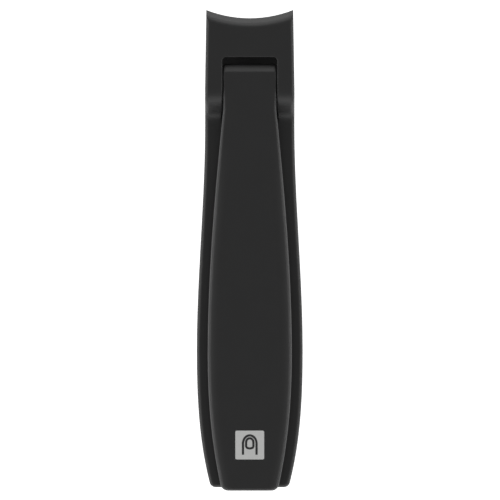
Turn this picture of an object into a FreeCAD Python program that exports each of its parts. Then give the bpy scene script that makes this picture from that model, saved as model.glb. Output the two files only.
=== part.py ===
import FreeCAD, Part
import math
import os

# Slim nail clipper with a fold-down lever, in millimetres.
#
# Two steel arms are riveted together at the tail and carry a cutting jaw each at the front.  The
# lever turns on a fulcrum pin between the two ears of the upper arm's head.  A second pin in the
# lever's nose, in front of the fulcrum and above it, holds the eye of a post that is headed under
# the lower arm.  Pressing the lever flat raises the nose, which pulls the post and closes the jaws.
#
# Frame: X across, Y along with the jaws towards +Y, Z up.  The origin is on the surface that the
# lower arm lies on, under the middle of the overall length.  The lever is modelled folded flat.

V = FreeCAD.Vector

# ---- Driving dimensions -------------------------------------------------------------------------

# Overall
LENGTH = 60.0            # jaw corners to the end of the lever
LOWER_JAW_HEIGHT = 4.2   # resting surface to the line where the cutting edges meet
UPPER_JAW_HEIGHT = 4.2   # that line to the top of the head

# Both arms, seen from above
JAW_WIDTH = 10.85        # across the corners of the jaws
NECK_WIDTH = 11.17
BELLY_WIDTH = 13.25
TAIL_WIDTH = 10.1         # where the sides run into the tail's corners
NECK_START = 10.0        # jaw corners back to the full neck width
NECK_END = 14.4          # jaw corners back to where the sides start to swell
BELLY_FROM_TAIL = 17.1   # end of the arms forward to the widest place
TAIL_CORNER = 0.8        # corner radius
TAIL_SQUARE = 0.7        # end of the arms forward to where TAIL_WIDTH is measured
TAIL_TAPER = 0.25        # slope of the sides there, sideways per length
LEVER_OVERHANG = 0.4     # lever's end past the end of the arms

# Both arms, seen from the side
ARM_THICKNESS = 1.8
JOINT_LENGTH = 9.6       # stretch of the tail where the arms lie on each other
ARM_BEND = 300.0         # radius of the upper arm's bend away from the lower arm
HEAD_STEP = 2.9          # top of the head down to the top of the upper arm
HEAD_RELIEF = 0.5        # line of the cutting edges up to the head's underside behind the jaw
STEP_FOOT = 13.3         # jaw corners back to the foot of the step
STEP_ANGLE = 52.0        # of the step's wall, in degrees
BROW_RADIUS = 3.0        # rounding from the head's top into the step
FOOT_RADIUS = 2.0        # rounding from the step into the arm
UNDER_STEP = 0.75        # foot of the step forward to where the underside starts to rise
UNDER_RISE = 1.0         # length over which the underside rises to the head's
UNDER_RADIUS = 0.5
ARM_EDGE = 0.45          # rounding of the arms' outer edges
INNER_EDGE = 0.12        # rounding of the edges where the arms face each other

# Jaws
EDGE_RADIUS = 14.7       # curve of the cutting edge, seen from above
JAW_FRONT_SLOPE = 0.9    # length of the sloping front above the upper edge and below the lower
JAW_FRONT_FALL = 1.15    # height of that slope
JAW_NOSE = 1.0           # rounding from it into the outer face
EDGE_LAND = 0.12         # flat behind the cutting edge
EDGE_GAP = 0.06          # between the two edges with the lever flat
UPPER_BEVEL = 0.6        # length of the bevel behind the upper edge
LOWER_BEVEL = 1.9        # length of the slope behind the lower edge
LOWER_HOLLOW = 1.4       # rounding at the foot of that slope
JAW_DEPTH = 4.0          # jaw corners back to the end of each jaw's thick root

# Lever
LEVER_NOSE_WIDTH = 6.62
LEVER_BELLY_WIDTH = 10.5
LEVER_TAIL_WIDTH = 7.3
LEVER_FLARE_BACK = 0.35  # heel of the nose back to where the lever starts to widen
LEVER_FLARE = 0.1        # slope of its sides there, sideways per length
LEVER_BELLY_FROM_TAIL = 17.0
LEVER_TAIL_SQUARE = 0.72
LEVER_TAIL_TAPER = 0.22
LEVER_TAIL_CORNER = 1.0
LEVER_NOSE_SLOPE = 1.0  # length of the sloping front of its nose
LEVER_NOSE_FALL = 0.65   # fall of that slope
LEVER_NOSE_ROUND = 0.3
LEVER_THICKNESS = 1.5    # at the end of its tail
LEVER_TOP_DROP = 0.1     # lever's nose below the head's top
LEVER_KNEE = 11.0        # jaw corners back to where the lever's top starts to fall
LEVER_WAIST = 20.0       # jaw corners back to the end of the steeper fall
LEVER_WAIST_DROP = 0.9   # lever's nose down to its top there
LEVER_KNEE_RADIUS = 40.0
LEVER_WAIST_RADIUS = 60.0
LEVER_GAP = 0.3          # between the lever and the upper arm below it
LEVER_EDGE = 0.35        # rounding of the lever's outer edges

# Window and channel in the head that the lever lies in
WINDOW_FRONT = 5.9       # jaw corners back to the window
WINDOW_LENGTH = 6.8
WINDOW_CORNER = 0.5
SIDE_GAP = 0.12          # between the lever and the walls beside it
NOSE_GAP = 0.85          # between the lever's nose and the window's front

# Linkage
CRANK = 2.5              # fulcrum pin to link pin
CRANK_ANGLE = 20.0       # rise of that line towards the nose, lever flat, in degrees
LEVER_RAISE = 40.0       # full raise of the lever, in degrees
FULCRUM_PIN_RADIUS = 0.75
LINK_PIN_RADIUS = 0.6
RUNNING = 0.04           # radial clearance of a pin that turns
PIN_INSET = 0.1          # pin ends inside the faces around them
PIN_CHAMFER = 0.12
POST_WIDTH = 2.4         # across
POST_DEPTH = 1.5         # along
POST_EYE_RADIUS = 1.1
POST_SHANK_RADIUS = 1.1  # in the lower arm
POST_COLLAR_RADIUS = 1.6  # resting on the lower arm
POST_COLLAR_DEPTH = 0.4
POST_HEAD_RADIUS = 2.2
POST_HEAD_DEPTH = 0.8
POST_SIDE_GAP = 0.1      # between the post and the cheeks of the lever's nose
POST_SWEEP_GAP = 0.2     # around the post as the lever turns on it
NOSE_SKIN = 0.35         # metal left around the post's eye
NOSE_WALL = 0.46         # metal below the fulcrum pin
NOSE_HEEL = 1.3          # fulcrum pin back to the end of the deep nose
HEEL_RADIUS = 0.5
HEAD_RECESS = 0.1        # rivet and post heads inside the resting surface

# Tail rivets
RIVET_RADIUS = 1.0
RIVET_HEAD_RADIUS = 1.7
RIVET_HEAD_DEPTH = 0.7
RIVET_SPREAD = 4.4       # between the two rivets
RIVET_FROM_TAIL = 2.3
RIVET_HOLE_GAP = 0.09    # radial, in the upper arm, which tips as the arms spring apart
RIVET_LIFT_GAP = 0.18    # below the upper heads, for the same tipping

# Badge in the lever
BADGE_SIDE = 3.6
BADGE_CORNER = 0.2
BADGE_THICKNESS = 0.15
BADGE_PROUD = 0.05       # above the lever
BADGE_FROM_TAIL = 5.72   # lever's end forward to the middle of the badge

# ---- Places worked out from them ----------------------------------------------------------------

FRONT_Y = LENGTH / 2
LEVER_END_Y = -LENGTH / 2
ARM_END_Y = LEVER_END_Y + LEVER_OVERHANG
EDGE_HEIGHT = LOWER_JAW_HEIGHT
HEAD_HEIGHT = LOWER_JAW_HEIGHT + UPPER_JAW_HEIGHT
ARM_TOP_Z = HEAD_HEIGHT - HEAD_STEP
HEAD_UNDER_Z = EDGE_HEIGHT + HEAD_RELIEF
JOINT_Y = ARM_END_Y + JOINT_LENGTH
FOOT_Y = FRONT_Y - STEP_FOOT
BROW_Y = FOOT_Y + HEAD_STEP / math.tan(math.radians(STEP_ANGLE))
WINDOW_FRONT_Y = FRONT_Y - WINDOW_FRONT
NOSE_Y = WINDOW_FRONT_Y - NOSE_GAP
LEVER_TOP_Z = HEAD_HEIGHT - LEVER_TOP_DROP
LEVER_WAIST_Z = LEVER_TOP_Z - LEVER_WAIST_DROP
EDGE_CENTRE_Y = FRONT_Y + math.sqrt(EDGE_RADIUS ** 2 - (JAW_WIDTH / 2) ** 2)

EYE_ROOM = POST_EYE_RADIUS + POST_SWEEP_GAP + NOSE_SKIN
LINK_Y = NOSE_Y - EYE_ROOM
LINK_Z = LEVER_TOP_Z - EYE_ROOM
FULCRUM_Y = LINK_Y - CRANK * math.cos(math.radians(CRANK_ANGLE))
FULCRUM_Z = LINK_Z - CRANK * math.sin(math.radians(CRANK_ANGLE))
NOSE_UNDER_Z = FULCRUM_Z - FULCRUM_PIN_RADIUS - RUNNING - NOSE_WALL
HEEL_Y = FULCRUM_Y - NOSE_HEEL

# The upper arm tips about the end of the joint between the arms as they spring apart.
FLEX_Y = ARM_END_Y
FLEX_Z = ARM_THICKNESS

FULL_FLEX = (
    CRANK
    * (math.sin(math.radians(CRANK_ANGLE)) + math.sin(math.radians(LEVER_RAISE - CRANK_ANGLE)))
    / (FULCRUM_Y - FLEX_Y)
)
# The link pin moves along the post's eye by these amounts as the lever is raised.
EYE_BACK = (FULCRUM_Z - FLEX_Z) * FULL_FLEX
EYE_AHEAD = CRANK * (1 - math.cos(math.radians(CRANK_ANGLE)))

FAR = 2 * LENGTH         # longer than anything that is cut


# ---- Shared shapes ------------------------------------------------------------------------------

def rounded_wire(corners, place):
    """Closed wire through (u, v, radius) corners, each rounded; place(u, v) gives the 3-D point."""
    count = len(corners)
    edges = []
    last = None
    first = None
    for i in range(count):
        u, v, radius = corners[i]
        here = V(u, v, 0)
        back = (V(corners[i - 1][0], corners[i - 1][1], 0) - here).normalize()
        ahead = (V(corners[(i + 1) % count][0], corners[(i + 1) % count][1], 0) - here).normalize()
        if radius > 0:
            half = back.getAngle(ahead) / 2
            reach = radius / math.tan(half)
            start = here + back * reach
            end = here + ahead * reach
            to_centre = (back + ahead).normalize()
            middle = here + to_centre * (radius / math.sin(half) - radius)
            arc = Part.Arc(place(start.x, start.y), place(middle.x, middle.y), place(end.x, end.y))
        else:
            start = end = here
            arc = None
        if last is not None and last.distanceToPoint(start) > 1e-6:
            edges.append(Part.LineSegment(place(last.x, last.y), place(start.x, start.y)).toShape())
        if arc:
            edges.append(arc.toShape())
        first = first or start
        last = end
    edges.append(Part.LineSegment(place(last.x, last.y), place(first.x, first.y)).toShape())
    return Part.Wire(edges)


def side_prism(corners, width):
    """Solid of a side view: (y, z, radius) corners, as wide as width about the middle."""
    face = Part.Face(rounded_wire(corners, lambda y, z: V(-width / 2, y, z)))
    return face.extrude(V(width, 0, 0))


def ring(corners):
    """Solid turned about the upright axis of the cutting edge: (distance, z, radius) corners."""
    sweep = 90.0
    face = Part.Face(rounded_wire(corners, lambda r, z: V(0, EDGE_CENTRE_Y - r, z)))
    axis = V(0, EDGE_CENTRE_Y, 0)
    face.rotate(axis, V(0, 0, 1), -sweep / 2)
    return face.revolve(axis, V(0, 0, 1), sweep)


def swell(start, end, start_slope, end_slope):
    """Side of an outline from start to end, (x, y) each, with its sideways slopes at both."""
    reach = (end[1] - start[1]) / 3
    poles = [
        V(start[0], start[1], 0),
        V(start[0] + start_slope * reach, start[1] + reach, 0),
        V(end[0] - end_slope * reach, end[1] - reach, 0),
        V(end[0], end[1], 0),
    ]
    curve = Part.BezierCurve()
    curve.setPoles(poles)
    return curve.toShape()


def line(start, end):
    return Part.LineSegment(V(start[0], start[1], 0), V(end[0], end[1], 0)).toShape()


def plan_prism(right_side, front, end, low, high, corner):
    """Upright solid of a plan: its right side's edges mirrored, and the tail's corners rounded."""
    left_side = [edge.mirror(V(0, 0, 0), V(1, 0, 0)) for edge in right_side]
    across = [line((-front[0], front[1]), front), line(end, (-end[0], end[1]))]
    wire = Part.Wire(Part.__sortEdges__(right_side + left_side + across))
    solid = Part.Face(wire).extrude(V(0, 0, high - low))
    solid.translate(V(0, 0, low))
    if corner > 0:
        at_tail = [
            e for e in solid.Edges
            if e.BoundBox.ZLength > (high - low) / 2 and e.CenterOfMass.y < end[1] + 1e-3
        ]
        solid = solid.makeFillet(corner, at_tail)
    return solid


def arm_plan(low, high):
    """The outline that both arms share, from low to high, running on past the jaws."""
    ahead = 1.0
    taper = (NECK_WIDTH - JAW_WIDTH) / 2 / NECK_START
    front = (JAW_WIDTH / 2 - taper * ahead, FRONT_Y + ahead)
    neck = (NECK_WIDTH / 2, FRONT_Y - NECK_START)
    neck_end = (NECK_WIDTH / 2, FRONT_Y - NECK_END)
    belly = (BELLY_WIDTH / 2, ARM_END_Y + BELLY_FROM_TAIL)
    tail = (TAIL_WIDTH / 2, ARM_END_Y + TAIL_SQUARE)
    end = (TAIL_WIDTH / 2 - TAIL_TAPER * TAIL_SQUARE, ARM_END_Y)
    right = [
        line(front, neck),
        line(neck, neck_end),
        swell(neck_end, belly, 0, 0),
        swell(belly, tail, 0, TAIL_TAPER),
        line(tail, end),
    ]
    return plan_prism(right, front, end, low, high, TAIL_CORNER)


def lever_plan(low, high, grow=0.0):
    """The lever's outline, moved outwards by grow for the channel that it lies in."""
    front = (LEVER_NOSE_WIDTH / 2 + grow, NOSE_Y + grow)
    flare = (LEVER_NOSE_WIDTH / 2 + grow, HEEL_Y - LEVER_FLARE_BACK)
    belly = (LEVER_BELLY_WIDTH / 2 + grow, LEVER_END_Y + LEVER_BELLY_FROM_TAIL)
    tail = (LEVER_TAIL_WIDTH / 2 + grow, LEVER_END_Y + LEVER_TAIL_SQUARE)
    end = (tail[0] - LEVER_TAIL_TAPER * LEVER_TAIL_SQUARE, LEVER_END_Y)
    right = [
        line(front, flare),
        swell(flare, belly, -LEVER_FLARE, 0),
        swell(belly, tail, 0, LEVER_TAIL_TAPER),
        line(tail, end),
    ]
    return plan_prism(right, front, end, low, high, 0 if grow else LEVER_TAIL_CORNER)


def cross_cylinder(y, z, radius, length):
    """Round bar across the clipper, about its middle."""
    return Part.makeCylinder(radius, length, V(-length / 2, y, z), V(1, 0, 0))


def cross_pin(y, z, radius, length):
    bar = cross_cylinder(y, z, radius, length)
    rims = [e for e in bar.Edges if abs(abs(e.CenterOfMass.x) - length / 2) < 1e-6]
    return bar.makeChamfer(PIN_CHAMFER, rims)


def upright_cylinder(x, y, radius, low, high):
    return Part.makeCylinder(radius, high - low, V(x, y, low), V(0, 0, 1))


def width_at_post():
    return POST_WIDTH + 2 * POST_SIDE_GAP


def edges_where(shape, wanted):
    """Edges whose middle point, and the normals of the two faces beside it, pass the test."""
    found = []
    for edge in shape.Edges:
        faces = shape.ancestorsOfType(edge, Part.Face)
        if len(faces) != 2:
            continue
        middle = edge.valueAt((edge.FirstParameter + edge.LastParameter) / 2)
        normals = [face.normalAt(*face.Surface.parameter(middle)) for face in faces]
        if wanted(middle, normals):
            found.append(edge)
    return found


def outline_edges(shape, up, inside, rearmost, foremost):
    """Edges between the outline's upright sides and the top (up=1) or the bottom (up=-1)."""
    def wanted(p, normals):
        upright = min(abs(n.z) for n in normals) < 0.05
        level = max(n.z * up for n in normals) > 0.3
        outside = abs(p.x) > inside or p.y < rearmost + 1.0
        return upright and level and outside and rearmost - 0.01 < p.y < foremost
    return edges_where(shape, wanted)


def jaw_space(edge_z, outer_z, inner_z, bevel, hollow):
    """What is cut away in front of a jaw, and behind its cutting edge."""
    away = 1.0 if outer_z > edge_z else -1.0
    inside = EDGE_RADIUS - JAW_DEPTH
    behind = EDGE_RADIUS + JAW_DEPTH + 1.0
    front = ring(
        [
            (inside, edge_z - away, 0),
            (EDGE_RADIUS, edge_z - away, 0),
            (EDGE_RADIUS, outer_z - away * JAW_FRONT_FALL, 0),
            (EDGE_RADIUS + JAW_FRONT_SLOPE, outer_z, JAW_NOSE),
            (behind, outer_z, 0),
            (behind, outer_z + away, 0),
            (inside, outer_z + away, 0),
        ]
    )
    back = ring(
        [
            (EDGE_RADIUS + EDGE_LAND, edge_z - away, 0),
            (EDGE_RADIUS + EDGE_LAND, edge_z, 0),
            (EDGE_RADIUS + EDGE_LAND + bevel, inner_z, hollow),
            (behind, inner_z, 0),
            (behind, edge_z - away, 0),
        ]
    )
    return front.fuse(back)


def arm_slope():
    return (ARM_TOP_Z - 2 * ARM_THICKNESS) / (FOOT_Y - JOINT_Y)


def over_arm(y, lift):
    """Height of the straight part of the upper arm's top at y, lifted by lift."""
    return ARM_TOP_Z + arm_slope() * (y - FOOT_Y) + lift


def window():
    """The opening through the head that the lever's nose and the post work in."""
    half = LEVER_NOSE_WIDTH / 2 + SIDE_GAP
    solid = Part.makeBox(2 * half, WINDOW_LENGTH, FAR, V(-half, WINDOW_FRONT_Y - WINDOW_LENGTH, 0))
    front = [
        e for e in solid.Edges
        if e.BoundBox.ZLength > HEAD_HEIGHT and e.CenterOfMass.y > WINDOW_FRONT_Y - WINDOW_CORNER
    ]
    return solid.makeFillet(WINDOW_CORNER, front)


def channel():
    """The room above the upper arm for the lever behind the window."""
    back = FOOT_Y - 2 * FOOT_RADIUS
    front = WINDOW_FRONT_Y - WINDOW_LENGTH / 2
    side = side_prism(
        [
            (back, over_arm(back, 0), 0),
            (back, 2 * HEAD_HEIGHT, 0),
            (front, 2 * HEAD_HEIGHT, 0),
            (front, over_arm(front, 0), 0),
        ],
        BELLY_WIDTH,
    )
    return side.common(lever_plan(0, 2 * HEAD_HEIGHT, SIDE_GAP))


def rivet_places():
    y = ARM_END_Y + RIVET_FROM_TAIL
    return [(-RIVET_SPREAD / 2, y), (RIVET_SPREAD / 2, y)]


# ---- Pieces -------------------------------------------------------------------------------------

def upper_arm():
    edge_z = EDGE_HEIGHT + EDGE_GAP / 2
    root_y = FRONT_Y - JAW_DEPTH
    ahead = FRONT_Y + 2.0
    blank = side_prism(
        [
            (ARM_END_Y, ARM_THICKNESS, 0),
            (ARM_END_Y, 2 * ARM_THICKNESS, 0),
            (JOINT_Y, 2 * ARM_THICKNESS, ARM_BEND),
            (FOOT_Y, ARM_TOP_Z, FOOT_RADIUS),
            (BROW_Y, HEAD_HEIGHT, BROW_RADIUS),
            (ahead, HEAD_HEIGHT, 0),
            (ahead, edge_z, 0),
            (root_y, edge_z, 0),
            (root_y, HEAD_UNDER_Z, 0),
            (FOOT_Y + UNDER_STEP + UNDER_RISE, HEAD_UNDER_Z, UNDER_RADIUS),
            (FOOT_Y + UNDER_STEP, ARM_TOP_Z - ARM_THICKNESS, UNDER_RADIUS),
            (JOINT_Y, ARM_THICKNESS, ARM_BEND),
        ],
        2 * BELLY_WIDTH,
    )
    arm = blank.common(arm_plan(0, 2 * HEAD_HEIGHT))
    arm = arm.makeFillet(ARM_EDGE, outline_edges(arm, 1, NECK_WIDTH / 3, ARM_END_Y, FRONT_Y))
    arm = arm.makeFillet(INNER_EDGE, outline_edges(arm, -1, NECK_WIDTH / 3, ARM_END_Y, root_y))
    arm = arm.cut(jaw_space(edge_z, HEAD_HEIGHT, HEAD_UNDER_Z, UPPER_BEVEL, 0))
    arm = arm.cut(window())
    arm = arm.cut(channel())
    arm = arm.cut(cross_cylinder(FULCRUM_Y, FULCRUM_Z, FULCRUM_PIN_RADIUS, FAR))
    for x, y in rivet_places():
        hole = upright_cylinder(x, y, RIVET_RADIUS + RIVET_HOLE_GAP, 0, HEAD_HEIGHT)
        recess_radius = RIVET_HEAD_RADIUS + RIVET_HOLE_GAP
        floor = 2 * ARM_THICKNESS - HEAD_RECESS - RIVET_HEAD_DEPTH - RIVET_LIFT_GAP
        recess = upright_cylinder(x, y, recess_radius, floor, HEAD_HEIGHT)
        arm = arm.cut(hole.fuse(recess))
    return arm


def lower_arm():
    edge_z = EDGE_HEIGHT - EDGE_GAP / 2
    root_y = FRONT_Y - JAW_DEPTH
    ahead = FRONT_Y + 2.0
    blank = side_prism(
        [
            (ARM_END_Y, 0, 0),
            (ARM_END_Y, ARM_THICKNESS, 0),
            (root_y, ARM_THICKNESS, 0),
            (root_y, edge_z, 0),
            (ahead, edge_z, 0),
            (ahead, 0, 0),
        ],
        2 * BELLY_WIDTH,
    )
    arm = blank.common(arm_plan(0, HEAD_HEIGHT))
    arm = arm.makeFillet(ARM_EDGE, outline_edges(arm, -1, NECK_WIDTH / 3, ARM_END_Y, FRONT_Y))
    arm = arm.makeFillet(INNER_EDGE, outline_edges(arm, 1, NECK_WIDTH / 3, ARM_END_Y, root_y))
    arm = arm.cut(jaw_space(edge_z, 0, ARM_THICKNESS, LOWER_BEVEL, LOWER_HOLLOW))
    arm = arm.cut(upright_cylinder(0, LINK_Y, POST_SHANK_RADIUS, 0, HEAD_HEIGHT))
    arm = arm.cut(upright_cylinder(0, LINK_Y, POST_HEAD_RADIUS, 0, HEAD_RECESS + POST_HEAD_DEPTH))
    for x, y in rivet_places():
        hole = upright_cylinder(x, y, RIVET_RADIUS, 0, HEAD_HEIGHT)
        recess = upright_cylinder(x, y, RIVET_HEAD_RADIUS, 0, HEAD_RECESS + RIVET_HEAD_DEPTH)
        arm = arm.cut(hole.fuse(recess))
    return arm


def post_room():
    """What the post sweeps inside the lever's nose, from the lever flat to fully raised."""
    radius = POST_EYE_RADIUS + POST_SWEEP_GAP
    half = POST_DEPTH / 2 + POST_SWEEP_GAP
    turn = math.radians(LEVER_RAISE)
    reach = HEAD_HEIGHT
    ahead = (LINK_Y + half * math.cos(turn), LINK_Z + half * math.sin(turn))
    wedge = side_prism(
        [
            (LINK_Y - half, LINK_Z, 0),
            (LINK_Y - half, LINK_Z - reach, 0),
            (ahead[0] + reach * math.sin(turn), ahead[1] - reach * math.cos(turn), 0),
            (ahead[0], ahead[1], 0),
        ],
        width_at_post(),
    )
    return cross_cylinder(LINK_Y, LINK_Z, radius, width_at_post()).fuse(wedge)


def lever_tail_z():
    return 2 * ARM_THICKNESS + LEVER_GAP + LEVER_THICKNESS


def lever_top_slope():
    """Slope of the lever's top from its tail to its waist."""
    return (LEVER_WAIST_Z - lever_tail_z()) / (FRONT_Y - LEVER_WAIST - LEVER_END_Y)


def lever():
    joint_under = 2 * ARM_THICKNESS + LEVER_GAP
    blank = side_prism(
        [
            (LEVER_END_Y, joint_under, 0),
            (LEVER_END_Y, lever_tail_z(), 0),
            (FRONT_Y - LEVER_WAIST, LEVER_WAIST_Z, LEVER_WAIST_RADIUS),
            (FRONT_Y - LEVER_KNEE, LEVER_TOP_Z, LEVER_KNEE_RADIUS),
            (NOSE_Y - LEVER_NOSE_SLOPE, LEVER_TOP_Z, LEVER_NOSE_ROUND),
            (NOSE_Y, LEVER_TOP_Z - LEVER_NOSE_FALL, LEVER_NOSE_ROUND),
            (NOSE_Y, NOSE_UNDER_Z, HEEL_RADIUS),
            (HEEL_Y, NOSE_UNDER_Z, HEEL_RADIUS),
            (HEEL_Y, over_arm(HEEL_Y, LEVER_GAP), 0),
            (JOINT_Y, joint_under, ARM_BEND),
        ],
        2 * BELLY_WIDTH,
    )
    bar = blank.common(lever_plan(0, 2 * HEAD_HEIGHT))
    bar = bar.makeFillet(LEVER_EDGE, outline_edges(bar, 1, LEVER_NOSE_WIDTH / 3, LEVER_END_Y, NOSE_Y))
    fulcrum_hole = cross_cylinder(FULCRUM_Y, FULCRUM_Z, FULCRUM_PIN_RADIUS + RUNNING, BELLY_WIDTH)
    link_hole = cross_cylinder(LINK_Y, LINK_Z, LINK_PIN_RADIUS, BELLY_WIDTH)
    return bar.cut([post_room(), fulcrum_hole, link_hole, badge()])


def badge():
    """Square plate let into the lever's tail and standing a little proud of it."""
    y = LEVER_END_Y + BADGE_FROM_TAIL
    z = lever_tail_z() + lever_top_slope() * BADGE_FROM_TAIL
    half = BADGE_SIDE / 2
    corner = V(-half, -half, BADGE_PROUD - BADGE_THICKNESS)
    plate = Part.makeBox(BADGE_SIDE, BADGE_SIDE, BADGE_THICKNESS, corner)
    upright = [e for e in plate.Edges if e.BoundBox.ZLength > BADGE_THICKNESS / 2]
    plate = plate.makeFillet(BADGE_CORNER, upright)
    plate.rotate(V(0, 0, 0), V(1, 0, 0), math.degrees(math.atan(lever_top_slope())))
    plate.translate(V(0, y, z))
    return plate


def fulcrum_pin():
    return cross_pin(FULCRUM_Y, FULCRUM_Z, FULCRUM_PIN_RADIUS, NECK_WIDTH - 2 * PIN_INSET)


def link_pin():
    return cross_pin(LINK_Y, LINK_Z, LINK_PIN_RADIUS, LEVER_NOSE_WIDTH - 2 * PIN_INSET)


def pull_post():
    corner = V(-POST_WIDTH / 2, LINK_Y - POST_DEPTH / 2, ARM_THICKNESS)
    low = Part.makeBox(POST_WIDTH, POST_DEPTH, LINK_Z - ARM_THICKNESS, corner)
    eye = cross_cylinder(LINK_Y, LINK_Z, POST_EYE_RADIUS, POST_WIDTH)
    collar_top = ARM_THICKNESS + POST_COLLAR_DEPTH
    collar = upright_cylinder(0, LINK_Y, POST_COLLAR_RADIUS, ARM_THICKNESS, collar_top)
    shank = upright_cylinder(0, LINK_Y, POST_SHANK_RADIUS, HEAD_RECESS, ARM_THICKNESS)
    head = upright_cylinder(0, LINK_Y, POST_HEAD_RADIUS, HEAD_RECESS, HEAD_RECESS + POST_HEAD_DEPTH)
    post = low.fuse([eye, collar, shank, head]).removeSplitter()
    hole = LINK_PIN_RADIUS + RUNNING
    post = post.cut(cross_cylinder(LINK_Y - EYE_BACK, LINK_Z, hole, FAR))
    post = post.cut(cross_cylinder(LINK_Y + EYE_AHEAD, LINK_Z, hole, FAR))
    slot_length = EYE_BACK + EYE_AHEAD
    slot = Part.makeBox(FAR, slot_length, 2 * hole, V(-FAR / 2, LINK_Y - EYE_BACK, LINK_Z - hole))
    return post.cut(slot)


def tail_rivets():
    top = 2 * ARM_THICKNESS - HEAD_RECESS
    rivets = []
    for x, y in rivet_places():
        shank = upright_cylinder(x, y, RIVET_RADIUS, HEAD_RECESS, top)
        low_top = HEAD_RECESS + RIVET_HEAD_DEPTH
        low_head = upright_cylinder(x, y, RIVET_HEAD_RADIUS, HEAD_RECESS, low_top)
        top_head = upright_cylinder(x, y, RIVET_HEAD_RADIUS, top - RIVET_HEAD_DEPTH, top)
        rivets.append(shank.fuse([low_head, top_head]).removeSplitter())
    return Part.makeCompound(rivets)


os.makedirs("parts", exist_ok=True)
for piece in (upper_arm, lower_arm, lever, badge, fulcrum_pin, link_pin, pull_post, tail_rivets):
    piece().exportStep(f"parts/{piece.__name__}.step")
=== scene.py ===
import math

import bmesh
import bpy
from bpy.props import FloatProperty, FloatVectorProperty, IntProperty, PointerProperty
from mathutils import Matrix, Vector
from mathutils.bvhtree import BVHTree


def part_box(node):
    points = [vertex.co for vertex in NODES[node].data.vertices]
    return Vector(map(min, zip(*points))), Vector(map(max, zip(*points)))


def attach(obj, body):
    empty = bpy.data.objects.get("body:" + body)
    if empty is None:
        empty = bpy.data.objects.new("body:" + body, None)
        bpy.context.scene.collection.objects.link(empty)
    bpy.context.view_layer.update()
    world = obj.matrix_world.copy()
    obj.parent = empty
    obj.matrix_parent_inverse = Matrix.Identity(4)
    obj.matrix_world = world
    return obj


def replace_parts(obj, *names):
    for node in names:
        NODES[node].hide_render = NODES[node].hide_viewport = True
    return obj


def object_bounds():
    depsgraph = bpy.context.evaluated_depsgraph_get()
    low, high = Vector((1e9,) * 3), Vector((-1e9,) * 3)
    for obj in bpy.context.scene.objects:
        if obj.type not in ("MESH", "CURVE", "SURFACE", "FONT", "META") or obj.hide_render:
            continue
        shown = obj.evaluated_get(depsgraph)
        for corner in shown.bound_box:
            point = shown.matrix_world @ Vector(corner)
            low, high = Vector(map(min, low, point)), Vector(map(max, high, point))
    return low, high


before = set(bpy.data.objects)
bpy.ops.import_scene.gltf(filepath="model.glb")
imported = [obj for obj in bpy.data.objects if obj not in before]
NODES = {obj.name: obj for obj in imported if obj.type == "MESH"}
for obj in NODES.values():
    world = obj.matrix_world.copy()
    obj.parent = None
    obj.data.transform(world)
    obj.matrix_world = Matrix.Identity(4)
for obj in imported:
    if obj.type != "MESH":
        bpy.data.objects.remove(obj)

bl_info = {
    "name": "Slim nail clipper",
    "version": (1, 0, 0),
    "blender": (4, 5, 0),
    "location": "View3D > Sidebar > Clipper",
    "description": "Finishes, small parts and studio for the slim nail clipper",
    "category": "Object",
}

MM = 0.001
CAD_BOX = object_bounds()

# Noise scales, in repeats per metre
CLOUD_SCALE = 320.0
PATCH_SCALE = 900.0
STREAK_SCALE = 600.0
WOBBLE_SCALE = 2500.0

# Depths of the fine relief, in metres
COATING_BUMP = 0.0000025
RING_BUMP = 0.0000015
FINE_BUMP = 0.000001

# Grain sizes and rubbed width of the small parts, in metres
STEEL_GRAIN = 0.0002
ENAMEL_GRAIN = 0.00012
FILE_EDGE = 0.00003

# Cuts in the lever's top, so that it can bend
STRIP = 0.12 * MM           # width of a strip along the lever
STRIPS = 27                 # on each side, from the widest place inwards
SLICE = 0.8 * MM            # length of a slice across the lever
EDGE_BAND = 0.4 * MM        # the lever's edge rounding lies inside this width and height
UPRIGHT = 0.7 * MM          # below the top, where the lever's side stands upright
CRISP_FADE = 4 * MM         # length over which the crisp edge becomes the soft shoulder
SHARP = math.radians(35)    # edges that turn by more than this stay sharp

SIGN_SHARE = 0.84           # half height of the sign against half the badge's side
FILE_ANGLE = math.radians(24)
FILE_MIDDLE = 0.1           # middle of the file, as a share of the way to the lever's tail

FLOOR_HALF = 1.5            # half the floor's side
FLOOR_DROP = 0.02 * MM      # floor below the clipper, so that the two don't share a plane
FLOOR_GLOW = 0.85
JAW_TOP = 4.5 * MM          # height at which the framed length is measured
CAMERA_SHIFT = (0.00003, 0.00006)

# Soft lights aimed at the origin: place, width and height, power in watts
LIGHTS = {
    "left_box": ((-0.57, 0.0, 0.32), (0.8, 0.24), 2.0),
    "right_box": ((0.57, 0.0, 0.32), (0.8, 0.24), 1.6),
    "back_box": ((0.0, 0.62, 0.25), (0.7, 0.25), 1.1),
    "front_box": ((0.0, -0.62, 0.28), (0.7, 0.25), 1.1),
}
WORLD_LIGHT = 0.38


# ---- Sizes and colours that a user would change -------------------------------------------------

class CoatingSettings(bpy.types.PropertyGroup):
    colour: FloatVectorProperty(
        name="Colour", description="Base colour of the black coating",
        subtype="COLOR", size=3, min=0.0, max=1.0, default=(0.0062, 0.0062, 0.0064),
    )
    wear_colour: FloatVectorProperty(
        name="Worn colour", description="Colour of the coating where edges are rubbed",
        subtype="COLOR", size=3, min=0.0, max=1.0, default=(0.016, 0.016, 0.0163),
    )
    roughness: FloatProperty(
        name="Roughness", description="Middle roughness of the coating",
        subtype="FACTOR", min=0.0, max=1.0, default=0.46,
    )
    grain: FloatProperty(
        name="Grain", description="Size of the coating's fine texture",
        subtype="DISTANCE", unit="LENGTH", min=0.00001, default=0.00009,
    )
    edge: FloatProperty(
        name="Edge width", description="Width of the rubbed band along the edges",
        subtype="DISTANCE", unit="LENGTH", min=0.00001, default=0.00025,
    )


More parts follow.
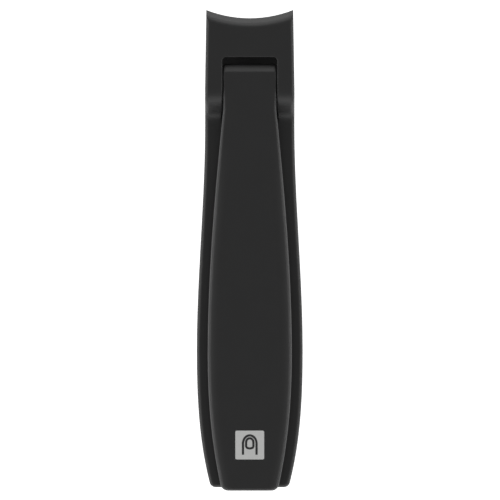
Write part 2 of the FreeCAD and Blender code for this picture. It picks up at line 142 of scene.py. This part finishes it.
class LeverSettings(bpy.types.PropertyGroup):
    shoulder: FloatProperty(
        name="Shoulder width", description="Width of the soft fall along the lever's sides",
        subtype="DISTANCE", unit="LENGTH", min=0.0001, default=0.0014,
    )
    fall: FloatProperty(
        name="Shoulder fall", description="Drop of the lever's top at its sides",
        subtype="DISTANCE", unit="LENGTH", min=0.0, default=0.0003,
    )
    start: FloatProperty(
        name="Shoulder start", description="Jaw corners back to where the fall begins to show",
        subtype="DISTANCE", unit="LENGTH", min=0.0, default=0.009,
    )
    full: FloatProperty(
        name="Full shoulder", description="Jaw corners back to where the fall is complete",
        subtype="DISTANCE", unit="LENGTH", min=0.0, default=0.026,
    )
    crisp: FloatProperty(
        name="Crisp nose",
        description="Share of the edge rounding's height that is filled beside the nose",
        subtype="FACTOR", min=0.0, max=0.9, default=0.75,
    )


class SteelSettings(bpy.types.PropertyGroup):
    colour: FloatVectorProperty(
        name="Colour", description="Colour of the blackened steel pins and rivets",
        subtype="COLOR", size=3, min=0.0, max=1.0, default=(0.075, 0.075, 0.077),
    )
    ring_pitch: FloatProperty(
        name="Turning pitch", description="Distance between the turning marks on the round ends",
        subtype="DISTANCE", unit="LENGTH", min=0.00001, default=0.00007,
    )


class BadgeSettings(bpy.types.PropertyGroup):
    colour: FloatVectorProperty(
        name="Colour", description="Colour of the brushed badge plate",
        subtype="COLOR", size=3, min=0.0, max=1.0, default=(0.7, 0.7, 0.69),
    )
    line: FloatProperty(
        name="Line width", description="Width of the lines of the fingertip sign",
        subtype="DISTANCE", unit="LENGTH", min=0.00001, default=0.00027,
    )
    relief: FloatProperty(
        name="Relief", description="Height of the sign above the plate",
        subtype="DISTANCE", unit="LENGTH", min=0.000001, default=0.00002,
    )


class FileSettings(bpy.types.PropertyGroup):
    pitch: FloatProperty(
        name="Tooth pitch", description="Distance between the file's teeth",
        subtype="DISTANCE", unit="LENGTH", min=0.0001, default=0.0004,
    )
    height: FloatProperty(
        name="Tooth height", description="Height of each tooth",
        subtype="DISTANCE", unit="LENGTH", min=0.00001, default=0.0001,
    )
    width: FloatProperty(
        name="File width", description="Length of each tooth across the lever",
        subtype="DISTANCE", unit="LENGTH", min=0.001, default=0.0058,
    )
    teeth: IntProperty(
        name="Teeth", description="Number of teeth in the row", min=1, default=52,
    )


class StudioSettings(bpy.types.PropertyGroup):
    floor: FloatVectorProperty(
        name="Floor", description="Colour of the floor",
        subtype="COLOR", size=3, min=0.0, max=1.0, default=(0.92, 0.92, 0.92),
    )
    distance: FloatProperty(
        name="Camera distance", description="Height of the camera over the clipper",
        subtype="DISTANCE", unit="LENGTH", min=0.1, default=1.5,
    )
    span: FloatProperty(
        name="Framed length", description="Length that the camera sees at the jaws' height",
        subtype="DISTANCE", unit="LENGTH", min=0.01, default=0.06245,
    )


SETTINGS = {
    "clipper_coating": CoatingSettings,
    "clipper_lever": LeverSettings,
    "clipper_steel": SteelSettings,
    "clipper_badge": BadgeSettings,
    "clipper_file": FileSettings,
    "clipper_studio": StudioSettings,
}


# ---- Shader helpers and shared effects ----------------------------------------------------------

def shader_group(name, inputs, outputs):
    """New shader node group; inputs are (name, type, default), outputs (name, type)."""
    group = bpy.data.node_groups.new(name, "ShaderNodeTree")
    for label, kind, value in inputs:
        socket = group.interface.new_socket(label, in_out="INPUT", socket_type=kind)
        socket.default_value = value
    for label, kind in outputs:
        group.interface.new_socket(label, in_out="OUTPUT", socket_type=kind)
    return group, group.nodes.new("NodeGroupInput"), group.nodes.new("NodeGroupOutput")


def maths(tree, operation, *values, clamp=False):
    """Math node whose inputs are sockets or numbers; returns its output."""
    node = tree.nodes.new("ShaderNodeMath")
    node.operation = operation
    node.use_clamp = clamp
    for i, value in enumerate(values):
        if isinstance(value, (int, float)):
            node.inputs[i].default_value = value
        else:
            tree.links.new(value, node.inputs[i])
    return node.outputs[0]


def vector_maths(tree, operation, a, b=None, out=0):
    """Vector math node; returns output 0, the vector, or 1, the value."""
    node = tree.nodes.new("ShaderNodeVectorMath")
    node.operation = operation
    for i, value in enumerate((a, b)):
        if value is None:
            continue
        if isinstance(value, (tuple, Vector)):
            node.inputs[i].default_value = value
        else:
            tree.links.new(value, node.inputs[i])
    return node.outputs[out]


def noise(tree, vector, scale, detail=2.0, rough=0.5):
    node = tree.nodes.new("ShaderNodeTexNoise")
    node.inputs["Detail"].default_value = detail
    node.inputs["Roughness"].default_value = rough
    tree.links.new(vector, node.inputs["Vector"])
    if isinstance(scale, float):
        node.inputs["Scale"].default_value = scale
    else:
        tree.links.new(scale, node.inputs["Scale"])
    return node.outputs["Fac"]


def mix_colour(tree, factor, a, b):
    node = tree.nodes.new("ShaderNodeMix")
    node.data_type = "RGBA"
    for socket, value in ((node.inputs[0], factor), (node.inputs[6], a), (node.inputs[7], b)):
        if isinstance(value, tuple):
            socket.default_value = value
        else:
            tree.links.new(value, socket)
    return node.outputs[2]


def powder_grain():
    """Fine powder-coat texture: a height, a fine mask and a slow cloudy mask."""
    group, given, out = shader_group(
        "powder_grain",
        [("Vector", "NodeSocketVector", (0, 0, 0)), ("Grain", "NodeSocketFloat", 0.0001)],
        [("Height", "NodeSocketFloat"), ("Fine", "NodeSocketFloat"), ("Cloud", "NodeSocketFloat")],
    )
    scale = maths(group, "DIVIDE", 1.0, given.outputs["Grain"])
    fine = noise(group, given.outputs["Vector"], scale, 3.0, 0.6)
    cloud = noise(group, given.outputs["Vector"], CLOUD_SCALE, 3.0, 0.55)
    group.links.new(fine, out.inputs["Height"])
    group.links.new(fine, out.inputs["Fine"])
    group.links.new(cloud, out.inputs["Cloud"])
    return group


def rubbed_edges():
    """Mask of the edges, broken up by noise, from how far a rounded normal leaves the real one."""
    group, given, out = shader_group(
        "rubbed_edges",
        [("Vector", "NodeSocketVector", (0, 0, 0)), ("Width", "NodeSocketFloat", 0.0002)],
        [("Mask", "NodeSocketFloat"), ("Normal", "NodeSocketVector")],
    )
    bevel = group.nodes.new("ShaderNodeBevel")
    bevel.samples = 6
    group.links.new(given.outputs["Width"], bevel.inputs["Radius"])
    shape = group.nodes.new("ShaderNodeNewGeometry")
    true_normal = shape.outputs["True Normal"]
    facing = vector_maths(group, "DOT_PRODUCT", bevel.outputs[0], true_normal, out=1)
    bend = maths(group, "SUBTRACT", 1.0, facing, clamp=True)
    patches = noise(group, given.outputs["Vector"], PATCH_SCALE, 4.0, 0.6)
    patches = maths(group, "MULTIPLY_ADD", patches, 4.0, -0.8, clamp=True)
    broken = maths(group, "MULTIPLY", bend, patches)
    mask = maths(group, "MULTIPLY", broken, 3.0, clamp=True)
    group.links.new(mask, out.inputs["Mask"])
    group.links.new(bevel.outputs[0], out.inputs["Normal"])
    return group


def turned_rings():
    """Turning marks: fine rings around a centre in the plane across an axis."""
    group, given, out = shader_group(
        "turned_rings",
        [
            ("Vector", "NodeSocketVector", (0, 0, 0)),
            ("Centre", "NodeSocketVector", (0, 0, 0)),
            ("Across", "NodeSocketVector", (1, 1, 0)),
            ("Pitch", "NodeSocketFloat", 0.0001),
        ],
        [("Height", "NodeSocketFloat"), ("Mask", "NodeSocketFloat")],
    )
    away = vector_maths(group, "SUBTRACT", given.outputs["Vector"], given.outputs["Centre"])
    flat = vector_maths(group, "MULTIPLY", away, given.outputs["Across"])
    radius = vector_maths(group, "LENGTH", flat, out=1)
    turns = maths(group, "DIVIDE", radius, given.outputs["Pitch"])
    wobble = maths(group, "MULTIPLY", noise(group, given.outputs["Vector"], WOBBLE_SCALE), 0.6)
    phase = maths(group, "MULTIPLY", maths(group, "ADD", turns, wobble), math.tau)
    ring = maths(group, "SINE", phase)
    height = maths(group, "MULTIPLY_ADD", ring, 0.5, 0.5)
    group.links.new(height, out.inputs["Height"])
    group.links.new(height, out.inputs["Mask"])
    return group


def brushed_grain():
    """Straight brushing along X: streaks as a height and a mask."""
    group, given, out = shader_group(
        "brushed_grain",
        [("Vector", "NodeSocketVector", (0, 0, 0)), ("Stretch", "NodeSocketVector", (1, 40, 40))],
        [("Height", "NodeSocketFloat"), ("Mask", "NodeSocketFloat")],
    )
    long = vector_maths(group, "MULTIPLY", given.outputs["Vector"], given.outputs["Stretch"])
    streaks = noise(group, long, STREAK_SCALE, 4.0, 0.65)
    group.links.new(streaks, out.inputs["Height"])
    group.links.new(streaks, out.inputs["Mask"])
    return group


def effect(maker):
    """The shared group that a function makes, built the first time it's asked for."""
    return bpy.data.node_groups.get(maker.__name__) or maker()


def new_material(name):
    """New material, its node tree, its Principled shader and its object coordinates."""
    material = bpy.data.materials.new(name)
    material.use_nodes = True
    tree = material.node_tree
    shader = tree.nodes["Principled BSDF"]
    place = tree.nodes.new("ShaderNodeTexCoord").outputs["Object"]
    return material, tree, shader, place


def add_effect(tree, group, place, **values):
    node = tree.nodes.new("ShaderNodeGroup")
    node.node_tree = group
    tree.links.new(place, node.inputs["Vector"])
    for key, value in values.items():
        node.inputs[key].default_value = value
    return node


def add_bump(tree, height, depth, shader, normal=None):
    bump = tree.nodes.new("ShaderNodeBump")
    bump.inputs["Strength"].default_value = 1.0
    bump.inputs["Distance"].default_value = depth
    tree.links.new(height, bump.inputs["Height"])
    if normal is not None:
        tree.links.new(normal, bump.inputs["Normal"])
    tree.links.new(bump.outputs["Normal"], shader.inputs["Normal"])


def opaque(colour, share=1.0):
    """A colour times a share, with an alpha of 1."""
    return tuple(c * share for c in colour) + (1.0,)


def coated_steel(name, settings, width):
    """Fine matt black coating on steel, rubbed a little along its edges."""
    material, tree, shader, place = new_material(name)
    grain = add_effect(tree, effect(powder_grain), place, Grain=settings.grain)
    wear = add_effect(tree, effect(rubbed_edges), place, Width=width)
    cloud = maths(tree, "MULTIPLY", grain.outputs["Cloud"], 0.35)
    colour = mix_colour(tree, cloud, opaque(settings.colour), opaque(settings.colour, 1.35))
    speck = maths(tree, "MULTIPLY_ADD", grain.outputs["Fine"], 5.0, -2.9, clamp=True)
    speck = maths(tree, "MULTIPLY", speck, 0.5)
    colour = mix_colour(tree, speck, colour, opaque(settings.wear_colour))
    rubbed = maths(tree, "MULTIPLY", wear.outputs["Mask"], 0.6)
    colour = mix_colour(tree, rubbed, colour, opaque(settings.wear_colour))
    rough = maths(tree, "MULTIPLY_ADD", grain.outputs["Cloud"], 0.06, settings.roughness - 0.03)
    rough = maths(tree, "SUBTRACT", rough, maths(tree, "MULTIPLY", rubbed, 0.12), clamp=True)
    tree.links.new(colour, shader.inputs["Base Color"])
    tree.links.new(rough, shader.inputs["Roughness"])
    shader.inputs["Specular IOR Level"].default_value = 0.5
    add_bump(tree, grain.outputs["Height"], COATING_BUMP, shader, wear.outputs["Normal"])
    return material


def turned_steel(name, settings, centre, across, mirrored=False):
    """Blackened steel with turning marks around a centre, mirrored for parts on both sides."""
    material, tree, shader, place = new_material(name)
    if mirrored:
        place = vector_maths(tree, "ABSOLUTE", place)
    rings = add_effect(
        tree, effect(turned_rings), place,
        Centre=centre, Across=across, Pitch=settings.ring_pitch,
    )
    grain = add_effect(tree, effect(powder_grain), place, Grain=STEEL_GRAIN)
    dull = opaque(settings.colour, 0.72)
    colour = mix_colour(tree, grain.outputs["Cloud"], dull, opaque(settings.colour))
    rough = maths(tree, "MULTIPLY_ADD", rings.outputs["Mask"], 0.1, 0.28)
    rough = maths(tree, "ADD", rough, maths(tree, "MULTIPLY", grain.outputs["Fine"], 0.12))
    tree.links.new(colour, shader.inputs["Base Color"])
    tree.links.new(rough, shader.inputs["Roughness"])
    shader.inputs["Metallic"].default_value = 1.0
    add_bump(tree, rings.outputs["Height"], RING_BUMP, shader)
    return material


def wear_material(node, material):
    """Give a CAD node one material."""
    mesh = NODES[node].data
    mesh.materials.clear()
    mesh.materials.append(material)


# ---- Pieces -------------------------------------------------------------------------------------

class CLIPPER_OT_coat_arms(bpy.types.Operator):
    """Give both arms their matt black coating"""
    bl_idname = "clipper.coat_arms"
    bl_label = "Coat the arms"

    def execute(self, context):
        settings = context.scene.clipper_coating
        material = coated_steel("black_coating_arms", settings, settings.edge)
        for node in ("upper_arm", "lower_arm"):
            wear_material(node, material)
        return {"FINISHED"}


def cut_upper_faces(bm, axis, places):
    """Cut the faces that look up along planes across an axis, so that they can bend there."""
    across = Vector((0, 0, 0))
    across[axis] = 1.0
    for place in places:
        faces = [f for f in bm.faces if f.normal.z > 0.2]
        edges = {e for f in faces for e in f.edges}
        verts = {v for e in edges for v in e.verts}
        bmesh.ops.bisect_plane(
            bm, geom=faces + list(edges) + list(verts),
            plane_co=across * place, plane_no=across, dist=1e-8,
        )


def smooth_step(value, start, end):
    """Soft rise from 0 at start to 1 at end."""
    part = min(max((value - start) / (end - start), 0.0), 1.0)
    return part ** 2 * (3 - 2 * part)


def shoulder_drops(settings, bm):
    """How far each point near the lever's top falls; beside the nose the edge points rise."""
    tree = BVHTree.FromBMesh(bm)
    jaw_y = CAD_BOX[1][1]
    drops = {}
    sections = {}
    for v in bm.verts:
        y = round(v.co.y, 7)
        if y not in sections:
            top = tree.ray_cast(Vector((0, y, 0.1)), Vector((0, 0, -1)))[0]
            side = top and tree.ray_cast(Vector((0.1, y, top.z - UPRIGHT)), Vector((-1, 0, 0)))[0]
            sections[y] = (top.z, side.x) if side else None
        if sections[y] is None or v.co.z < sections[y][0] - EDGE_BAND:
            continue
        top_z, side_x = sections[y]
        back = smooth_step(jaw_y - y, settings.start, settings.full)
        inset = side_x - abs(v.co.x)
        near = max(0.0, 1.0 - inset / settings.shoulder)
        drops[v] = settings.fall * near ** 2 * back
        if inset < EDGE_BAND:
            nose = 1.0 - smooth_step(jaw_y - y, settings.start, settings.start + CRISP_FADE)
            drops[v] -= settings.crisp * nose * (top_z - v.co.z)
    return drops


def finish_mesh(bm, name):
    """Mesh with smooth faces, apart from its sharp edges."""
    bmesh.ops.triangulate(bm, faces=bm.faces)
    for face in bm.faces:
        face.smooth = True
    for edge in bm.edges:
        edge.smooth = edge.calc_face_angle(math.pi) < SHARP
    mesh = bpy.data.meshes.new(name)
    bm.to_mesh(mesh)
    bm.free()
    return mesh


class CLIPPER_OT_soften_lever(bpy.types.Operator):
    """Give the lever its soft shoulders and matt black coating"""
    bl_idname = "clipper.soften_lever"
    bl_label = "Soften the lever"

    def execute(self, context):
        settings = context.scene.clipper_lever
        coating = context.scene.clipper_coating
        low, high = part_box("lever")
        bm = bmesh.new()
        bm.from_mesh(NODES["lever"].data)
        bmesh.ops.remove_doubles(bm, verts=bm.verts, dist=1e-7)
        across = [sign * (high.x - STRIP * i) for i in range(1, STRIPS + 1) for sign in (-1, 1)]
        along = [low.y + SLICE * i for i in range(1, int((high.y - low.y) / SLICE))]
        cut_upper_faces(bm, 0, across)
        cut_upper_faces(bm, 1, along)
        for v, drop in shoulder_drops(settings, bm).items():
            v.co.z -= drop
        mesh = finish_mesh(bm, "soft_lever")
        material = coated_steel("black_coating_lever", coating, coating.edge)
        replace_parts(new_piece("soft_lever", mesh, material, "lever"), "lever")
        return {"FINISHED"}


class CLIPPER_OT_turn_pins(bpy.types.Operator):
    """Give the two cross pins, the post and the rivets their blackened, turned finish"""
    bl_idname = "clipper.turn_pins"
    bl_label = "Turn the pins, post and rivets"

    def execute(self, context):
        settings = context.scene.clipper_steel
        for node, across in (
            ("fulcrum_pin", (0, 1, 1)), ("link_pin", (0, 1, 1)), ("pull_post", (1, 1, 0)),
        ):
            low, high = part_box(node)
            wear_material(node, turned_steel(f"turned_{node}", settings, (low + high) / 2, across))
        low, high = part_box("tail_rivets")
        reach = (high.y - low.y) / 2
        centre = Vector((high.x - reach, -(low.y + high.y) / 2, (low.z + high.z) / 2))
        rivets = turned_steel("turned_tail_rivets", settings, centre, (1, 1, 0), mirrored=True)
        wear_material("tail_rivets", rivets)
        return {"FINISHED"}


class CLIPPER_OT_brush_badge(bpy.types.Operator):
    """Brush the badge plate"""
    bl_idname = "clipper.brush_badge"
    bl_label = "Brush the badge"

    def execute(self, context):
        settings = context.scene.clipper_badge
        material, tree, shader, place = new_material("brushed_badge")
        brush = add_effect(tree, effect(brushed_grain), place)
        dull = opaque(settings.colour, 0.85)
        colour = mix_colour(tree, brush.outputs["Mask"], dull, opaque(settings.colour))
        rough = maths(tree, "MULTIPLY_ADD", brush.outputs["Mask"], 0.2, 0.35)
        tree.links.new(colour, shader.inputs["Base Color"])
        tree.links.new(rough, shader.inputs["Roughness"])
        shader.inputs["Metallic"].default_value = 0.6
        add_bump(tree, brush.outputs["Height"], FINE_BUMP, shader)
        wear_material("badge", material)
        return {"FINISHED"}


def fingertip_lines():
    """Lines of the sign, in a square from -1 to 1: a fingertip and the nail on it."""
    def arch(half, foot, middle, rise, steps):
        turn = [math.pi * i / steps for i in range(steps + 1)]
        over = [(-half * math.cos(a), middle + rise * math.sin(a)) for a in turn]
        return [(-half, foot)] + over + [(half, foot)]

    finger = arch(0.56, -0.8, 0.12, 0.68, 24)
    nail = arch(0.3, -0.12, 0.22, 0.34, 18)
    root = [(0.3 * math.cos(a), -0.12 - 0.16 * math.sin(a)) for a in (0.6, 1.1, 1.57, 2.04, 2.54)]
    return [(finger, False), (nail + root, True)]


def add_ribbon(bm, path, closed, width, low, high):
    """Closed flat ribbon along a path of (x, y) points, from height low to high."""
    count = len(path)
    rings = []
    for i, (x, y) in enumerate(path):
        back = path[(i - 1) % count] if closed or i > 0 else (x, y)
        ahead = path[(i + 1) % count] if closed or i < count - 1 else (x, y)
        along = Vector((ahead[0] - back[0], ahead[1] - back[1])).normalized()
        side = Vector((-along.y, along.x)) * width / 2
        corners = ((side, low), (side, high), (-side, high), (-side, low))
        rings.append([bm.verts.new((x + s.x, y + s.y, z)) for s, z in corners])
    for i in range(count if closed else count - 1):
        a, b = rings[i], rings[(i + 1) % count]
        for k in range(4):
            bm.faces.new((a[k], a[(k + 1) % 4], b[(k + 1) % 4], b[k]))
    if not closed:
        bm.faces.new(rings[0])
        bm.faces.new(rings[-1])


def plate_top(node):
    """Matrix whose origin is the middle of a flat node's top and whose Z is its normal."""
    mesh = NODES[node].data
    top = max((p for p in mesh.polygons if p.normal.z > 0.9), key=lambda p: p.center.z)
    normal = top.normal.copy()
    corners = [mesh.vertices[i].co for p in mesh.polygons if p.normal.z > 0.9 for i in p.vertices]
    low = Vector([min(c[i] for c in corners) for i in range(3)])
    high = Vector([max(c[i] for c in corners) for i in range(3)])
    right = Vector((1, 0, 0))
    up = normal.cross(right).normalized()
    turn = Matrix((right, up, normal)).transposed().to_4x4()
    return Matrix.Translation((low + high) / 2) @ turn


def new_piece(name, mesh, material, body):
    """Object for a finished mesh, riding on a body; the mesh gets the given material if it has
    none.
    """
    piece = bpy.data.objects.new(name, mesh)
    bpy.context.scene.collection.objects.link(piece)
    if not mesh.materials:
        mesh.materials.append(material)
    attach(piece, body)
    return piece


class CLIPPER_OT_raise_sign(bpy.types.Operator):
    """Put the fingertip sign on the badge"""
    bl_idname = "clipper.raise_sign"
    bl_label = "Raise the badge's sign"

    def execute(self, context):
        settings = context.scene.clipper_badge
        low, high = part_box("badge")
        half = SIGN_SHARE * (high.x - low.x) / 2
        bm = bmesh.new()
        for path, closed in fingertip_lines():
            scaled = [(x * half, y * half) for x, y in path]
            add_ribbon(bm, scaled, closed, settings.line, -settings.relief, settings.relief)
        bmesh.ops.recalc_face_normals(bm, faces=bm.faces)
        bm.transform(plate_top("badge"))
        mesh = bpy.data.meshes.new("fingertip_sign")
        bm.to_mesh(mesh)
        bm.free()
        enamel = dark_enamel(context.scene.clipper_coating)
        new_piece("fingertip_sign", mesh, enamel, "lever")
        return {"FINISHED"}


def dark_enamel(settings):
    """Slightly uneven dark enamel of the sign."""
    material, tree, shader, place = new_material("sign_enamel")
    grain = add_effect(tree, effect(powder_grain), place, Grain=ENAMEL_GRAIN)
    dark, pale = opaque(settings.colour, 1.2), opaque(settings.colour, 2.4)
    tree.links.new(mix_colour(tree, grain.outputs["Fine"], dark, pale), shader.inputs["Base Color"])
    rough = maths(tree, "MULTIPLY_ADD", grain.outputs["Cloud"], 0.2, 0.35)
    tree.links.new(rough, shader.inputs["Roughness"])
    add_bump(tree, grain.outputs["Height"], FINE_BUMP, shader)
    return material


def file_tree():
    """Geometry nodes: rows of ridges that cross at an angle, like a nail file's teeth."""
    tree = bpy.data.node_groups.new("file_rows", "GeometryNodeTree")
    for label, kind, value in (
        ("Teeth", "NodeSocketInt", 50),
        ("Pitch", "NodeSocketFloat", 0.4 * MM),
        ("Height", "NodeSocketFloat", 0.1 * MM),
        ("Width", "NodeSocketFloat", 5.8 * MM),
        ("Angle", "NodeSocketFloat", FILE_ANGLE),
        ("Material", "NodeSocketMaterial", None),
    ):
        socket = tree.interface.new_socket(label, in_out="INPUT", socket_type=kind)
        if value is not None:
            socket.default_value = value
    tree.interface.new_socket("Geometry", in_out="OUTPUT", socket_type="NodeSocketGeometry")
    nodes, link = tree.nodes, tree.links.new
    given, out = nodes.new("NodeGroupInput"), nodes.new("NodeGroupOutput")

    start, end = nodes.new("ShaderNodeCombineXYZ"), nodes.new("ShaderNodeCombineXYZ")
    link(maths(tree, "MULTIPLY", given.outputs["Width"], -0.5), start.inputs["X"])
    link(maths(tree, "MULTIPLY", given.outputs["Width"], 0.5), end.inputs["X"])
    ridge_line = nodes.new("GeometryNodeCurvePrimitiveLine")
    link(start.outputs[0], ridge_line.inputs["Start"])
    link(end.outputs[0], ridge_line.inputs["End"])
    profile = nodes.new("GeometryNodeCurvePrimitiveCircle")
    profile.inputs["Resolution"].default_value = 4
    link(given.outputs["Height"], profile.inputs["Radius"])
    ridge = nodes.new("GeometryNodeCurveToMesh")
    ridge.inputs["Fill Caps"].default_value = True
    link(ridge_line.outputs["Curve"], ridge.inputs["Curve"])
    link(profile.outputs["Curve"], ridge.inputs["Profile Curve"])

    step = nodes.new("ShaderNodeCombineXYZ")
    link(given.outputs["Pitch"], step.inputs["Y"])
    row = nodes.new("GeometryNodeMeshLine")
    link(given.outputs["Teeth"], row.inputs["Count"])
    link(step.outputs[0], row.inputs["Offset"])
    both = nodes.new("GeometryNodeJoinGeometry")
    for sign in (1.0, -1.0):
        about = nodes.new("ShaderNodeCombineXYZ")
        link(maths(tree, "MULTIPLY", given.outputs["Angle"], sign), about.inputs["Z"])
        copies = nodes.new("GeometryNodeInstanceOnPoints")
        link(row.outputs["Mesh"], copies.inputs["Points"])
        link(ridge.outputs["Mesh"], copies.inputs["Instance"])
        link(about.outputs[0], copies.inputs["Rotation"])
        link(copies.outputs["Instances"], both.inputs["Geometry"])
    real = nodes.new("GeometryNodeRealizeInstances")
    link(both.outputs["Geometry"], real.inputs["Geometry"])
    coat = nodes.new("GeometryNodeSetMaterial")
    link(real.outputs["Geometry"], coat.inputs["Geometry"])
    link(given.outputs["Material"], coat.inputs["Material"])
    link(coat.outputs["Geometry"], out.inputs["Geometry"])
    return tree


def grown_mesh(name, tree, values):
    """Mesh that a geometry nodes tree makes with the given inputs."""
    maker = bpy.data.objects.new(name, bpy.data.meshes.new(name))
    bpy.context.scene.collection.objects.link(maker)
    modifier = maker.modifiers.new("grow", "NODES")
    modifier.node_group = tree
    for item in tree.interface.items_tree:
        if item.item_type == "SOCKET" and item.in_out == "INPUT" and item.name in values:
            modifier[item.identifier] = values[item.name]
    bpy.context.view_layer.update()
    grown = maker.evaluated_get(bpy.context.evaluated_depsgraph_get())
    mesh = bpy.data.meshes.new_from_object(grown)
    bpy.data.objects.remove(maker)
    return mesh


def under_lever(y):
    """Point on the lever's underside at y, on its middle line."""
    mesh = NODES["lever"].data
    tree = BVHTree.FromPolygons([v.co for v in mesh.vertices], [p.vertices for p in mesh.polygons])
    place = tree.ray_cast(Vector((0, y, -0.01)), Vector((0, 0, 1)))[0]
    if place is None:
        raise RuntimeError(f"the lever has no underside at y = {y}")
    return place


class CLIPPER_OT_cut_file(bpy.types.Operator):
    """Cut the nail file's teeth into the lever's underside"""
    bl_idname = "clipper.cut_file"
    bl_label = "Cut the nail file"

    def execute(self, context):
        settings = context.scene.clipper_file
        coating = context.scene.clipper_coating
        material = coated_steel("black_coating_file", coating, FILE_EDGE)
        mesh = grown_mesh("nail_file", file_tree(), {
            "Teeth": settings.teeth, "Pitch": settings.pitch, "Height": settings.height,
            "Width": settings.width, "Material": material,
        })
        length = settings.pitch * (settings.teeth - 1)
        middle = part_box("lever")[0].y * FILE_MIDDLE
        back, front = under_lever(middle - length / 2), under_lever(middle + length / 2)
        along = (front - back).normalized()
        right = Vector((1, 0, 0))
        turn = Matrix((right, along, right.cross(along))).transposed().to_4x4()
        mesh.transform(Matrix.Translation(back) @ turn)
        new_piece("nail_file", mesh, material, "lever")
        return {"FINISHED"}


class CLIPPER_OT_build_stage(bpy.types.Operator):
    """Make the floor, the soft lights and the camera"""
    bl_idname = "clipper.build_stage"
    bl_label = "Build the studio"

    def execute(self, context):
        settings = context.scene.clipper_studio
        build_floor(settings)
        light_studio(context)
        build_camera(context, settings)
        return {"FINISHED"}


def build_floor(settings):
    """Pale floor that glows a little, so that it stays white around the clipper."""
    bm = bmesh.new()
    bmesh.ops.create_grid(bm, x_segments=8, y_segments=8, size=FLOOR_HALF)
    mesh = bpy.data.meshes.new("floor")
    bm.to_mesh(mesh)
    bm.free()
    floor = bpy.data.objects.new("floor", mesh)
    floor.location.z = -FLOOR_DROP
    bpy.context.scene.collection.objects.link(floor)
    material, _, shader, _ = new_material("pale_floor")
    shader.inputs["Base Color"].default_value = opaque(settings.floor)
    shader.inputs["Roughness"].default_value = 0.9
    shader.inputs["Emission Color"].default_value = (1, 1, 1, 1)
    shader.inputs["Emission Strength"].default_value = FLOOR_GLOW
    mesh.materials.append(material)


def light_studio(context):
    """Soft boxes around the clipper and an even light from everywhere."""
    for name, (place, size, power) in LIGHTS.items():
        light = bpy.data.lights.new(name, "AREA")
        light.shape = "RECTANGLE"
        light.size, light.size_y = size
        light.energy = power
        lamp = bpy.data.objects.new(name, light)
        lamp.location = place
        lamp.rotation_mode = "QUATERNION"
        lamp.rotation_quaternion = (-Vector(place)).to_track_quat("-Z", "Y")
        context.scene.collection.objects.link(lamp)
    world = bpy.data.worlds.new("studio")
    world.use_nodes = True
    back = world.node_tree.nodes["Background"]
    back.inputs["Color"].default_value = (1, 1, 1, 1)
    back.inputs["Strength"].default_value = WORLD_LIGHT
    context.scene.world = world
    context.scene.view_settings.view_transform = "Standard"


def build_camera(context, settings):
    """Camera straight above, far away, with a long lens."""
    data = bpy.data.cameras.new("top_camera")
    data.sensor_width = 36.0
    data.lens = data.sensor_width * settings.distance / settings.span
    data.clip_start = 0.01
    data.clip_end = 10.0
    camera = bpy.data.objects.new("top_camera", data)
    camera.location = (*CAMERA_SHIFT, settings.distance + JAW_TOP)
    context.scene.collection.objects.link(camera)
    context.scene.camera = camera


# ---- Add-on -------------------------------------------------------------------------------------

OPERATORS = (
    CLIPPER_OT_coat_arms,
    CLIPPER_OT_soften_lever,
    CLIPPER_OT_turn_pins,
    CLIPPER_OT_brush_badge,
    CLIPPER_OT_raise_sign,
    CLIPPER_OT_cut_file,
    CLIPPER_OT_build_stage,
)


class CLIPPER_PT_steps(bpy.types.Panel):
    """The clipper's making, step by step"""
    bl_idname = "CLIPPER_PT_steps"
    bl_label = "Slim nail clipper"
    bl_space_type = "VIEW_3D"
    bl_region_type = "UI"
    bl_category = "Clipper"

    def draw(self, context):
        for operator in OPERATORS:
            self.layout.operator(operator.bl_idname)
        for name, group in SETTINGS.items():
            settings = getattr(context.scene, name)
            for prop in group.__annotations__:
                self.layout.prop(settings, prop)


def register():
    for name, group in SETTINGS.items():
        bpy.utils.register_class(group)
        setattr(bpy.types.Scene, name, PointerProperty(type=group))
    for operator in OPERATORS:
        bpy.utils.register_class(operator)
    bpy.utils.register_class(CLIPPER_PT_steps)


def unregister():
    bpy.utils.unregister_class(CLIPPER_PT_steps)
    for operator in reversed(OPERATORS):
        bpy.utils.unregister_class(operator)
    for name, group in reversed(SETTINGS.items()):
        delattr(bpy.types.Scene, name)
        bpy.utils.unregister_class(group)


def main():
    register()
    for operator in OPERATORS:
        module, call = operator.bl_idname.split(".")
        getattr(getattr(bpy.ops, module), call)()


if __name__ == "__main__":
    main()
